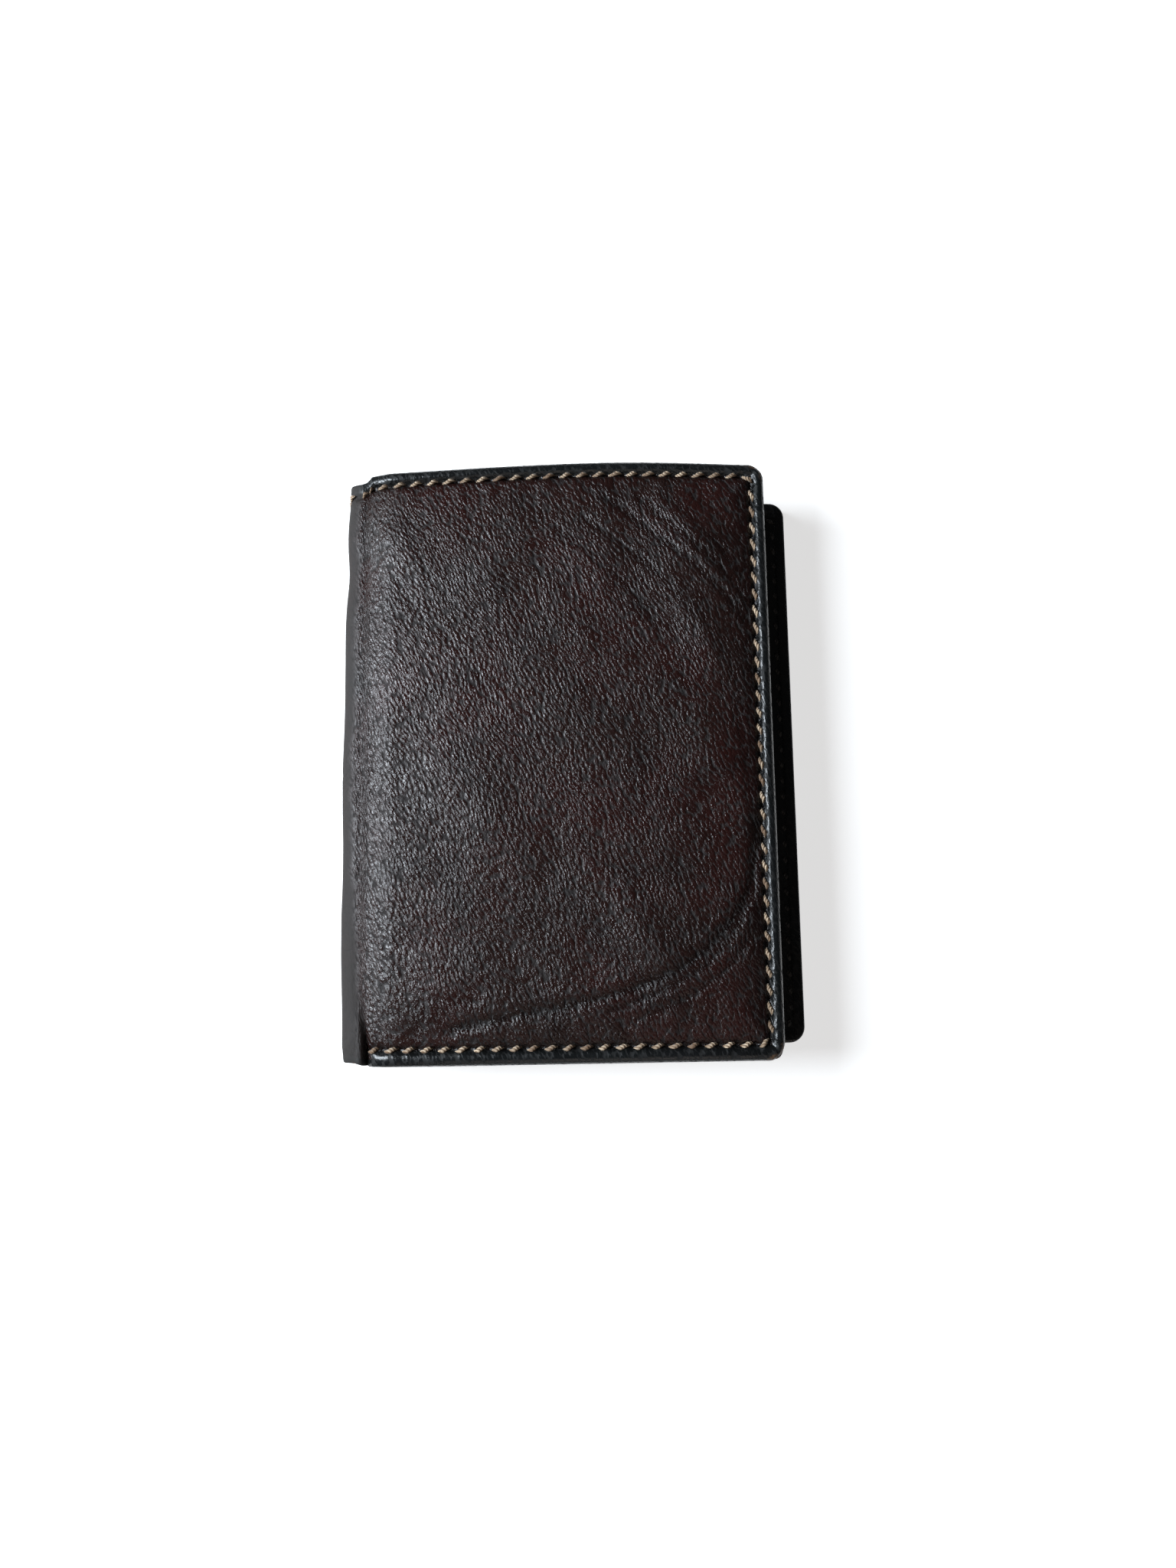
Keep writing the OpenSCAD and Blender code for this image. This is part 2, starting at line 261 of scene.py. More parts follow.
# %% [markdown]
# ## Finishes
# Leather is told by its grain: little pebbles, longer than wide, with thin dark creases
# between. Voronoi cells give the pebbles, and stretching their coordinates gives the flow
# that a worn hide has. The creases are darker and duller, the crowns rub smooth and shine.
# The pattern reads the hide's own flat coordinates, so it bends with the leather.

# %% Node helpers
def new_material(name):
    """A material with only a Principled shader and its output."""
    material = bpy.data.materials.new(name)
    material.use_nodes = True
    tree = material.node_tree
    shader = tree.nodes["Principled BSDF"]
    return material, tree, shader


def add(tree, kind, inputs=(), **settings):
    """A node with its settings and inputs. An input is a number or another node's output."""
    node = tree.nodes.new(kind)
    for key, value in settings.items():
        setattr(node, key, value)
    for key, value in dict(inputs).items():
        if isinstance(value, bpy.types.NodeSocket):
            tree.links.new(value, node.inputs[key])
        else:
            node.inputs[key].default_value = value
    return node


def mix_colour(tree, factor, a, b):
    """Colour a where factor is 0 and b where it is 1."""
    return add(tree, "ShaderNodeMix", {0: factor, 6: a, 7: b}, data_type="RGBA").outputs[2]


def attribute(tree, name="skin"):
    """A mesh attribute's value: by default the place on the flat hide."""
    return add(tree, "ShaderNodeAttribute", attribute_name=name).outputs["Vector"]


def emboss(tree, shader, height, strength, distance):
    """Raises the surface's shading by height, up to distance in millimetres."""
    bump = add(tree, "ShaderNodeBump",
               {"Strength": strength, "Distance": distance * MM, "Height": height})
    tree.links.new(bump.outputs[0], shader.inputs["Normal"])


def remap(tree, value, low, high, to_low=0.0, to_high=1.0):
    """value from low..high to to_low..to_high, smoothly and without going past."""
    ends = {0: value, 1: low, 2: high, 3: to_low, 4: to_high}
    return add(tree, "ShaderNodeMapRange", ends, interpolation_type="SMOOTHSTEP").outputs[0]


def maths(tree, operation, a, b=0.0):
    """One Math node's result."""
    return add(tree, "ShaderNodeMath", {0: a, 1: b}, operation=operation).outputs[0]


def noise(tree, where, scale, detail=3.0):
    """A Noise texture's value at a place, with scale in features per metre."""
    return add(tree, "ShaderNodeTexNoise",
               {"Vector": where, "Scale": scale, "Detail": detail}).outputs[0]


# %% Leather
def leather(name, colour, crease, worn, pebble=0.58, depth=0.13, gloss=0.22, flow=-62.0):
    """Pebbled hide. pebble is the width of a grain in millimetres, flow its slope in degrees."""
    material, tree, shader = new_material(name)
    hide = attribute(tree)
    wear_and_shade = add(tree, "ShaderNodeSeparateXYZ", {"Vector": attribute(tree, "wear_and_shade")})
    stretched, raw, dark = wear_and_shade.outputs[0], wear_and_shade.outputs[1], wear_and_shade.outputs[2]

    def pushed(place, scale, reach):
        """A place moved about by soft noise, so that the pattern wanders."""
        push = add(tree, "ShaderNodeTexNoise", {"Vector": place, "Scale": scale, "Detail": 1.0})
        push = add(tree, "ShaderNodeVectorMath", {0: push.outputs[1], 1: (0.5, 0.5, 0.5)},
                   operation="SUBTRACT")
        push = add(tree, "ShaderNodeVectorMath", {0: push.outputs[0], 3: reach},
                   operation="SCALE")
        return add(tree, "ShaderNodeVectorMath", {0: place, 1: push.outputs[0]},
                   operation="ADD").outputs[0]

    wandering = pushed(pushed(hide, 70.0, 0.0035), 600.0, 0.0004)
    along = add(tree, "ShaderNodeMapping",
                {"Vector": wandering, "Rotation": (0, 0, np.radians(flow)),
                 "Scale": (2.1, 1.0, 1.0)}, vector_type="TEXTURE").outputs[0]
    scale = 1000.0 / pebble
    cells = add(tree, "ShaderNodeTexVoronoi", {"Vector": along, "Scale": scale},
                feature="F1")
    small = add(tree, "ShaderNodeTexVoronoi", {"Vector": wandering, "Scale": scale * 1.9},
                feature="DISTANCE_TO_EDGE").outputs["Distance"]
    far = cells.outputs["Distance"]
    dome = maths(tree, "SUBTRACT", 1.0, maths(tree, "MULTIPLY", far, far))
    crown = remap(tree, dome, 0.35, 0.8)
    fine = remap(tree, small, 0.0, 0.32)
    bend = noise(tree, hide, 380.0, 3.0)
    patch = remap(tree, noise(tree, hide, 50.0, 3.0), 0.38, 0.66)
    blotch = remap(tree, noise(tree, hide, 120.0, 4.0), 0.45, 0.72)
    base = mix_colour(tree, patch, colour, worn)
    base = mix_colour(tree, maths(tree, "MULTIPLY", blotch, 0.4), base, crease)
    # Painted shade: the third wear share darkens the creases, the seam's groove and the pit towards
    # the crease colour.
    base = mix_colour(tree, maths(tree, "MULTIPLY", dark, 0.85), base, crease)
    base = mix_colour(tree, maths(tree, "ADD", maths(tree, "MULTIPLY", crown, 0.7), 0.3),
                      crease, base)
    ragged = remap(tree, maths(tree, "MULTIPLY", raw, noise(tree, hide, 1500.0, 3.0)), 0.2, 0.5)
    base = mix_colour(tree, maths(tree, "MULTIPLY", stretched, 0.8), base,
                      (0.017, 0.0132, 0.011, 1))
    tree.links.new(mix_colour(tree, ragged, base, (0.115, 0.062, 0.032, 1)),
                   shader.inputs["Base Color"])
    rough = maths(tree, "SUBTRACT", remap(tree, bend, 0.3, 0.7, gloss + 0.44, gloss + 0.56),
                  maths(tree, "MULTIPLY", crown, 0.47))
    smoother = maths(tree, "MULTIPLY", stretched, maths(tree, "SUBTRACT", 0.72, rough))
    rough = maths(tree, "ADD", rough, smoother)
    rough = maths(tree, "ADD", rough, maths(tree, "MULTIPLY", ragged, 0.4))
    tree.links.new(rough, shader.inputs["Roughness"])
    height = maths(tree, "ADD", maths(tree, "MULTIPLY", dome, 1.7),
                   maths(tree, "MULTIPLY", fine, 0.2))
    height = maths(tree, "ADD", height, maths(tree, "MULTIPLY", bend, 0.8))
    height = maths(tree, "MULTIPLY", height,
                   maths(tree, "SUBTRACT", 1.0, maths(tree, "MULTIPLY", stretched, 0.72)))
    emboss(tree, shader, height, 1.0, depth)
    shader.inputs["Specular IOR Level"].default_value = 0.46
    return material


outer_hide = leather("brown_pebbled_leather", (0.0175, 0.0074, 0.006, 1),
                     (0.0032, 0.0019, 0.0017, 1), (0.0235, 0.0068, 0.0056, 1), pebble=0.53,
                     depth=0.112, gloss=0.19)
edge_hide = leather("black_edge_leather", (0.0085, 0.0098, 0.0102, 1), (0.003, 0.003, 0.003, 1),
                    (0.009, 0.0095, 0.010, 1), pebble=0.5, depth=0.03, gloss=0.2)
flesh_hide = leather("hide_flesh_side", (0.011, 0.0095, 0.0088, 1), (0.006, 0.005, 0.0048, 1),
                     (0.013, 0.0105, 0.0095, 1), pebble=0.45, depth=0.02, gloss=0.62)
inner_hide = leather("dark_inner_leather", (0.010, 0.0075, 0.007, 1), (0.005, 0.004, 0.004, 1),
                     (0.014, 0.0095, 0.009, 1), pebble=0.5, depth=0.05, gloss=0.32)


# %% Thread, lining, felt and film
def thread(name, pale, dark):
    """Twisted waxed thread: fine slanted plies and soiling along it. The plies' crests are painted
    pale as a highlight and their grooves dark as shade.
    """
    material, tree, shader = new_material(name)
    place = attribute(tree)
    plies = add(tree, "ShaderNodeTexWave", {"Vector": place, "Scale": 800.0, "Distortion": 1.5},
                bands_direction="DIAGONAL").outputs[1]
    soil_and_ply_shade = remap(tree, noise(tree, place, 260.0, 2.0), 0.32, 0.68)
    # Painted shade and highlight: the grooves between plies take the dark colour, their crests the
    # pale one.
    soil_and_ply_shade = maths(tree, "MAXIMUM", soil_and_ply_shade, remap(tree, plies, 0.75, 0.1))
    tree.links.new(mix_colour(tree, soil_and_ply_shade, pale, dark), shader.inputs["Base Color"])
    emboss(tree, shader, plies, 0.9, 0.12)
    shader.inputs["Roughness"].default_value = 0.6
    shader.inputs["Sheen Weight"].default_value = 0.2
    return material


def woven(name, pale, dark, threads=2400.0):
    """A fine woven cloth: two sets of ribs that cross, with uneven dye."""
    material, tree, shader = new_material(name)
    place = attribute(tree)
    warp = add(tree, "ShaderNodeTexWave", {"Vector": place, "Scale": threads},
               bands_direction="X").outputs[1]
    weft = add(tree, "ShaderNodeTexWave", {"Vector": place, "Scale": threads},
               bands_direction="Y").outputs[1]
    cloth = maths(tree, "MULTIPLY", warp, weft)
    dye = maths(tree, "MULTIPLY", cloth, noise(tree, place, 300.0))
    tree.links.new(mix_colour(tree, dye, dark, pale), shader.inputs["Base Color"])
    emboss(tree, shader, cloth, 0.5, 0.05)
    shader.inputs["Roughness"].default_value = 0.85
    return material


def clear_film(name):
    """Soft clear vinyl, faintly clouded by rubbing."""
    material, tree, shader = new_material(name)
    place = attribute(tree)
    cloud = remap(tree, noise(tree, place, 90.0, 4.0), 0.3, 0.7, 0.12, 0.3)
    tree.links.new(cloud, shader.inputs["Roughness"])
    shader.inputs["Base Color"].default_value = (0.75, 0.79, 0.8, 1)
    shader.inputs["Alpha"].default_value = 0.28
    shader.inputs["Specular IOR Level"].default_value = 0.6
    return material


tan_thread = thread("tan_waxed_thread", (0.68, 0.53, 0.37, 1), (0.17, 0.1, 0.055, 1))
dark_thread = thread("dark_waxed_thread", (0.03, 0.026, 0.023, 1), (0.012, 0.010, 0.009, 1))
lining_cloth = woven("black_lining_cloth", (0.02, 0.019, 0.02, 1), (0.006, 0.006, 0.006, 1))
felt = woven("grey_padding_felt", (0.3, 0.28, 0.26, 1), (0.16, 0.15, 0.14, 1), threads=500.0)
vinyl = clear_film("clear_soft_vinyl")


def finish_piece(piece, body, slot, *materials, replaced=()):
    """Gives a piece its finishes, attaches it to its body when body is a name, and hides the
    nodes it stands for. slot is not used.
    """
    for material in materials:
        piece.data.materials.append(material)
    if isinstance(body, str):
        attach(piece, body)
    else:
        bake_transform(piece)
    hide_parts(*replaced)
    return piece


# %% [markdown]
# ## The way round a bend
# The outer leather is drawn flat, as it was cut, and then carried round the fold. A flat
# place s runs from the middle of the fold up its wall, round a quarter circle and out along
# the panel. The height stands square to that path. The lower half is the same path, upside
# down.

# %% The fold's path
wall_run = wallet_t / 2 - fold_r
bend_run = np.pi / 2 * fold_r


def flat_to_x(s):
    """Where a flat place on the panel lies across the wallet."""
    return s - wall_run - bend_run + panel_x


def x_to_flat(x):
    """The flat place of a point on the panel."""
    return x - panel_x + wall_run + bend_run


def carry_round(points, upper):
    """Flat points (s, y, height) carried round the fold, above or below its middle."""
    s, y, h = points.T
    turn = np.clip((s - wall_run) / fold_r, 0, np.pi / 2)
    radius = fold_r + h
    x = fold_x + fold_r - radius * np.cos(turn)
    z = wallet_t - fold_r + radius * np.sin(turn)
    z = np.where(s < wall_run, wallet_t / 2 + s, z)
    x = np.where(s > wall_run + bend_run, flat_to_x(s), x)
    return np.stack([x, y, z if upper else wallet_t - z], 1)


def bend_ends(upper):
    """Start and end points, in metres, of the stretch that bends between fold and panel."""
    ends = np.array([[fold_x, 0, wallet_t - fold_r], [panel_x, 0, wallet_t]])
    if not upper:
        ends[:, 2] = wallet_t - ends[:, 2]
    return [tuple(point * MM) for point in ends]


# %% [markdown]
# ## Seams
# A saddle seam is a row of short fat stitches. Each dives into a hole at both ends, and lies
# at a slant, so the row looks like a cord. The thread has two plies, so a stitch is a tube
# whose cross-section is a figure of eight that turns along it. One stitch is computed as a
# small grid, and numpy places all copies at once.

# %% The path of a seam and the stitches on it
def seam_path(start, side, half, turn, end=None):
    """Places (x, y, heading) of stitches from the top left to the bottom left."""
    end = start if end is None else end
    straight, arc, down = side - turn - start, np.pi * turn / 2, 2 * (half - turn)
    back = side - turn - end
    total = straight + back + 2 * arc + down
    count = int(round(total / stitch_pitch))
    d = (np.arange(count) + 0.5) * total / count
    knots = np.cumsum([0, straight, arc, down, arc, back])
    heading = np.radians(-np.interp(d, knots, [0, 0, 90, 90, 180, 180]))
    x = np.where(d < knots[1], start + d, side - turn - turn * np.sin(heading))
    x = np.where(d > knots[4], side - turn - (d - knots[4]), x)
    y = np.where(d < knots[2], half - turn + turn * np.cos(heading),
                 turn - half + turn * np.cos(heading))
    y = np.where((d > knots[2]) & (d < knots[3]), half - turn - (d - knots[2]), y)
    return x, y, heading


def stitch_form(length=2.4, width=0.88, rise=0.36, rings=9, sides=8):
    """One stitch: a two-ply tube along x that rises in the middle and dives at both ends."""
    u = np.linspace(-1, 1, rings)[:, None]
    v = np.linspace(0, 2 * np.pi, sides, endpoint=False)[None, :]
    twist = u * 2.4
    lobes = 1 - 0.34 * np.sin(v - twist) ** 2
    taper = np.sqrt(np.clip(1 - (np.abs(u) * 0.97) ** 3, 0.03, 1))
    y = width / 2 * taper * lobes * np.cos(v) + 0.09 * np.sin(np.pi * u)
    z = width / 2 * 0.8 * taper * lobes * np.sin(v) + rise * (1 - 1.9 * u**2 + 0.2 * u**4)
    x = length / 2 * u + 0 * v
    points = np.stack([x, y, z], 2).reshape(-1, 3)
    i, j = grid(np.arange(rings - 1), np.arange(sides))
    a, b = i * sides + j, i * sides + (j + 1) % sides
    faces = np.stack([a, b, b + sides, a + sides], 2).reshape(-1, 4)
    return points, faces, sides


def stitches(name, x, y, heading, height, carry, size=1.0, slant=stitch_slant):
    """All stitches of a seam as one mesh, lying at height(x, y) and put in place by carry."""
    form, faces, sides = stitch_form()
    form = form * size
    turn = heading + slant + rng.normal(0, 0.05, x.size)
    grow = 1 + rng.normal(0, 0.05, x.size)
    c, s = np.cos(turn)[:, None], np.sin(turn)[:, None]
    along, across = form[:, 0] * grow[:, None], form[:, 1][None, :]
    px = x[:, None] + along * c - across * s
    py = y[:, None] + along * s + across * c
    pz = height(x, y)[:, None] + form[:, 2][None, :]
    points = carry(np.stack([px, py, pz], 2).reshape(-1, 3))
    count = form.shape[0]
    first = np.arange(x.size)[:, None, None] * count
    quads = (faces[None] + first).reshape(-1, 4).tolist()
    ends = [list(range(k * count + sides - 1, k * count - 1, -1)) for k in range(x.size)]
    ends += [list(range((k + 1) * count - sides, (k + 1) * count)) for k in range(x.size)]
    own = np.tile(form, (x.size, 1)) + np.repeat(np.stack([x, y, 0 * x], 1), count, 0)
    return place_mesh(name, points, quads + ends, own)


def holes(x, y, seam, depth, reach=1.28, radius=0.55):
    """Dents where a seam's stitches dive: a sum of round dimples at both ends of each."""
    px, py, turn = seam
    hx = np.concatenate([px - reach * np.cos(turn), px + reach * np.cos(turn)])
    hy = np.concatenate([py - reach * np.sin(turn), py + reach * np.sin(turn)])
    dent = np.zeros(x.shape)
    for a, b in zip(hx, hy):
        near = (np.abs(x - a) < 3 * radius) & (np.abs(y - b) < 3 * radius)
        dent[near] += np.exp(-((x[near] - a) ** 2 + (y[near] - b) ** 2) / radius**2)
    return depth * np.clip(dent, 0, 1.2)


# %% [markdown]
# ## The front flap's leather
# The outer leather is padded, so it stands up between its seams like a thin cushion. It is
# pulled down along the seam, and rolled over at the free edges. Years in a pocket have left
# creases: a long one round the lower free corner, a fan of them across the upper one, and
# short puckers between the stitches. Each crease is a drawn line with a soft valley
# round it: its depth and width in millimetres, and its points. A swell is a soft hump: its
# middle, its reach across and along, and its rise. The pit is at the fold's lower end.

# %% Shape of the front leather
HEM_WIDTH = 5.4
FRONT_ROLL = 1.1
FRONT_LOW = -1.0
flat_start = panel_x - wall_run - bend_run
front_seam_x = front_edge - seam_inset
front_seam_y = half_h - seam_inset
front_stitches = seam_path(flat_start, front_seam_x, front_seam_y, seam_turn_r, panel_x - 0.2)

LONG_CREASES = [
    (0.5, 1.1, [(32.6, -12), (32, -18), (30.8, -24), (27.5, -30), (23, -35), (17, -39),
                (9, -42), (-2, -44.5), (-14, -46.5), (-22, -48)]),
    (0.36, 0.7, [(31.5, -25), (27.8, -32), (22.5, -38), (14, -42.5), (5, -45.5)]),
    (0.3, 0.6, [(30.5, -33), (26, -39), (19, -43.5), (10, -47)]),
    (0.34, 0.7, [(6, 47), (13, 41.5), (20, 36.5), (27, 30), (32, 24)]),
    (0.3, 0.6, [(12, 47), (19, 41), (26, 35), (32.5, 27.5)]),
    (0.26, 0.55, [(17, 47.5), (23, 42), (28, 36.5), (32.5, 31)]),
    (0.28, 0.6, [(2, 43), (9, 38), (16, 32.5), (22, 25)]),
    (0.22, 0.6, [(-3, 41), (5, 35), (12, 28.5), (16.5, 21)]),
    (0.22, 0.5, [(20, 30), (24, 24.5), (27, 17)]),
    (0.2, 0.5, [(26.5, 22), (29.5, 13), (30.5, 3)]),
    (0.2, 0.5, [(29, 8), (31, -2), (31.2, -12)]),
    (0.24, 0.6, [(22, 48), (27, 43.5), (31.5, 38.5)]),
    (0.2, 0.5, [(-31, 45), (-27, 34), (-21, 26)]),
    (0.2, 0.5, [(-33, 34), (-28, 26), (-20, 19), (-15, 10)]),
    (0.18, 0.5, [(-38.5, -20), (-36.5, -33), (-36, -43)]),
    (0.18, 0.5, [(-35, -24), (-34, -33), (-34.5, -46)]),
    (0.16, 0.55, [(-42, 38.5), (-33, 39.3), (-25, 38.2)]),
    (0.16, 0.55, [(-36, 33), (-26, 31.8), (-12, 32.4)]),
    (0.15, 0.6, [(-44, 26), (-36, 27.5), (-28, 24)]),
    (0.12, 0.6, [(-46, -3), (-38, -1.5), (-31, -4)]),
    (0.13, 0.6, [(-34, -46), (-26, -43), (-18, -43.5)]),
    (0.12, 0.7, [(10, -26), (13, -32), (20, -35)]),
]
PIT = [(panel_x - 0.3, -54), (panel_x - 0.8, -50), (panel_x - 2.6, -43)]
SWELLS = [(23, 38, 4.5, 8, 0.55), (22, 25, 4, 8, 0.5), (12.5, -33, 4.5, 8, 0.55),
          (-31, 39, 4.5, 6, 0.5), (-4, 10, 6, 9, 0.42), (-20, -6, 7, 10, 0.45),
          (-26, -41, 6, 6, 0.35), (4, 33, 5, 8, 0.25), (27, -3, 4, 12, 0.3)]


def silhouette(y):
    """How far the fold's wall swells or sinks along its length."""
    return 0.28 * ripple(y, 0 * y, 31, 5) - 0.45 * bell((y - 36) / 5.5) - 0.1


def meet_on_wall(x, y, h):
    """Eases the height h to one shared profile where front and back leather meet."""
    shared = silhouette(y) - 0.9 * np.exp(-(half_h - np.abs(y)) / 1.6)
    share = smooth(1 - (x - flat_start) / 5)
    return h * (1 - share) + shared * share


def edge_distance(x, y, edge, half):
    """How far a point is inside the nearer of the free edge and the two ends."""
    return np.minimum(edge - x, half - np.abs(y))


def lip(d):
    """How a border swells between its edge and its seam: half a sine wave over the inset d."""
    return np.sin(np.pi * np.clip(d / seam_inset, 0, 1))


def round_shoulder(x, drop):
    """Carries a drop of the panel's edge round the bend as a quarter ellipse. Its half width
    is the bend's radius and its half height the radius less the drop, so it stays smooth."""
    angle = np.clip((x - panel_x) / fold_r + np.pi / 2, 0, np.pi / 2)
    across = np.cos(angle) / fold_r
    upright = np.sin(angle) / (fold_r + drop)
    return 1 / np.sqrt(across**2 + upright**2) - fold_r


def front_base(x, y):
    """The front leather's height without its stitch holes, over the flat nominal surface."""
    on_fold = smooth((panel_x + 3 - x) / 6)
    d = edge_distance(x, y, front_edge, half_h)
    unsewn = on_fold * smooth(-y / 20)
    inner = np.maximum(d - seam_inset, 0)
    rise = 1 - np.exp(-inner / 5.0)
    sewn = FRONT_LOW + (0.22 - FRONT_LOW) * rise + 0.34 * lip(d)
    sewn = sewn - 0.3 * bell((d - seam_inset) / 0.55)
    end = half_h - np.abs(y)
    loose = -0.9 * np.exp(-end / 1.6)
    h = sewn * (1 - unsewn) + loose * unsewn
    fall = np.clip((-12 - x) / 26, 0, 1.1) ** 2.0
    slope = -1.6 * fall - 0.95 * smooth((-33 - x) / 5)
    h = h * (1 - 0.45 * on_fold) + round_shoulder(x, slope) + on_fold * silhouette(y)
    body = rise * (1 - 0.6 * on_fold)
    h = h + body * (0.11 * ripple(x, y, 26, 11) + 0.055 * ripple(x, y, 9, 12))
    for mid_x, mid_y, wide, long, rise_by in SWELLS:
        away = ((x - mid_x + 0.5 * (y - mid_y)) / wide) ** 2 + ((y - mid_y) / long) ** 2
        h = h + rise_by * np.exp(-away)
    for depth, width, path in LONG_CREASES:
        line = valley(x, y, path, width)
        h = h - depth * line + 0.4 * depth * valley(x, y, path, width * 2.4)
    return meet_on_wall(x, y, h)


def front_top(x, y):
    """The front leather's full height: puckers run in from the seam and holes dent it."""
    d = edge_distance(x, y, front_edge, half_h)
    near_end = (half_h - np.abs(y)) < (front_edge - x)
    along = np.where(near_end, x, y) + 0.5 * ripple(x, y, 12, 21)
    pucker = np.sin(2 * np.pi * along / stitch_pitch) * np.exp(-np.abs(d - 3.6) / 1.6)
    long_pucker = np.sin(2 * np.pi * along / 5.3 + 1) * np.exp(-np.abs(d - 5) / 3.0)
    inside = smooth((d - seam_inset) / 1.2)
    h = front_base(x, y) + inside * (0.06 * pucker + 0.1 * long_pucker)
    tight = np.sin(2 * np.pi * (along + 0.6 * ripple(x, y, 5, 22)) / 1.7)
    h = h + 0.045 * tight * (1 - inside) * smooth(d / 0.8)
    h = h - holes(x, y, front_stitches, 0.42)
    deepening = smooth((-y - 42) / 10)
    groove = valley(x, y, PIT, 0.8)
    swollen = bell((x - panel_x + 3.2) / 2.2) * deepening
    return meet_on_wall(x, y, h - 1.9 * deepening * groove + 0.5 * swollen)


# %% How the outline bows
def bow(points):
    """Flat places moved along the wallet: the top edge bows out, and the fold's ends draw in."""
    moved = points.copy()
    x, y = points[:, 0], points[:, 1]
    on_fold = smooth((panel_x + 1 - x) / 7)
    swell = 1.75 * bell((x - 9) / 33) * (1 - on_fold)
    moved[:, 1] += smooth((y - 6) / 48) * (swell - 1.3 * on_fold)
    moved[:, 1] -= smooth((-y - 40) / 14) * 0.3 * (1 - on_fold)
    moved[:, 1] -= smooth((-y - front_seam_y) / seam_inset) * 0.4 * (1 - on_fold)
    return moved


# %% Front leather and its turned edge as one sheet
def seam_zones(edge, half):
    """Where a panel's grid has to be fine: along its seam and its rolled edges."""
    across = [(edge - 4.2, edge)]
    down = [(-half, -half + 4.2), (half - 4.2, half)]
    return across, down


def hide_inside(top):
    """The inner side of the bare hide on the fold, which is thinner there than on a panel."""
    return np.minimum(-1.15, top - 0.5)


def underside(x, top, on_panel):
    """The leather's inner side: on_panel under a panel, easing into the bare hide's."""
    on_fold = smooth((panel_x + 2 - x) / 3)
    return on_panel * (1 - on_fold) + on_fold * hide_inside(top)


across, down = seam_zones(front_edge, half_h)
gx = graded(flat_start, front_edge - FRONT_ROLL, 0.62, 0.24, across)
gy = graded(-half_h + FRONT_ROLL, half_h - FRONT_ROLL, 0.62, 0.24, down)
x, y = grid(gx, gy)
x, y = round_corners(x, y, flat_start, front_edge - FRONT_ROLL, half_h - FRONT_ROLL, 0, 1.9)
top = front_top(x, y)
d = edge_distance(x, y, front_edge, half_h)
hem = -3.2 + 1.7 * smooth((d - HEM_WIDTH) / 1.5)
bottom = underside(x, top, np.minimum(hem, top - 1.1))
points, faces = shell(x, y, top, bottom, FRONT_ROLL, 7, fixed_start=True)
in_flat = points.copy()


def on_front(points):
    """Flat places on the front leather, bowed and carried round the fold."""
    flat = bow(points)
    flat[:, 0] = x_to_flat(flat[:, 0])
    return carry_round(flat, True)


def leather_wear_and_shade(flat, edge, half, creases=()):
    """Shares of wear and painted shade from place: the fold is stretched smooth, the outer
    corners are rubbed raw, and the creases, the seam's groove, a band inside the free edge and
    the pit at the fold's end are painted dark as shade."""
    x, y, h = flat.T
    d = edge_distance(x, y, edge, half)
    start = panel_x - 4.2 + 1.9 * smooth((-y - 12) / 34)
    stretched = smooth((start + 0.5 * ripple(y, 0 * y, 7, 91) - x) / 1.8)
    low_end = smooth((-y - 41) / 6) * smooth((panel_x - 0.8 - x) / 1.5)
    corner = np.hypot(x - edge, np.abs(y) - half)
    raw = 1.1 * bell(corner / 3.8) * smooth((1.9 - d) / 1.4)
    raw = raw + 0.6 * smooth((-1.5 - h) / 0.8) * smooth((0.7 - d) / 0.7) * smooth((2.9 + h) / 0.5)
    # Painted shade: the seam's groove, a band inside the free edge, the pit and the creases below
    # are darkened in colour.
    groove = bell((d - seam_inset) / 0.85) * (x > panel_x)
    groove = np.maximum(groove, 0.6 * bell((edge - x - 4.2) / 1.9))
    dark = np.maximum(groove, smooth((-y - 42) / 8) * valley(x, y, PIT, 0.9))
    for depth, width, path in creases:
        dark = np.maximum(dark, depth * 2.2 * valley(x, y, path, width * 0.8))
    return np.stack([np.maximum(stretched, 0.7 * low_end), raw, dark], 1)


front_leather = make_mesh("front_leather", on_front(points), faces, in_flat,
                          wear_and_shade=leather_wear_and_shade(in_flat, front_edge, half_h, LONG_CREASES),
                          cut=in_flat[:, 0] < flat_start + 1e-6)


def paint_border(piece, flat, faces, edge, half, inset, loose_from=None, shown=None):
    """Gives the second finish to the faces outside the seam. The hidden faces that follow
    the first shown ones get the third, and the rolled edge after them the second again."""
    middle = flat[faces].mean(1)
    outside = edge_distance(middle[:, 0], middle[:, 1], edge, half) < inset
    if loose_from is not None:
        outside &= ~((middle[:, 0] < loose_from) & (middle[:, 1] < 0))
    finish = outside.astype(np.int32)
    if shown is not None:
        finish[shown:] = 1
        finish[shown:2 * shown] = 2
    piece.data.polygons.foreach_set("material_index", finish)


finish_piece(front_leather, ("fold", "front_flap", *bend_ends(True)), "outer_leather",
             outer_hide, edge_hide, flesh_hide,
             replaced=["front_outer_leather", "front_turned_edge"])
paint_border(front_leather, in_flat, faces, front_edge, half_h, seam_inset - 0.1,
             panel_x + 0.8, (x.shape[0] - 1) * (x.shape[1] - 1))


# %% [markdown]
# The three runs of the seam are separate rows of the same stitch. The top row carries on
# round the fold, so it bends with the leather there.

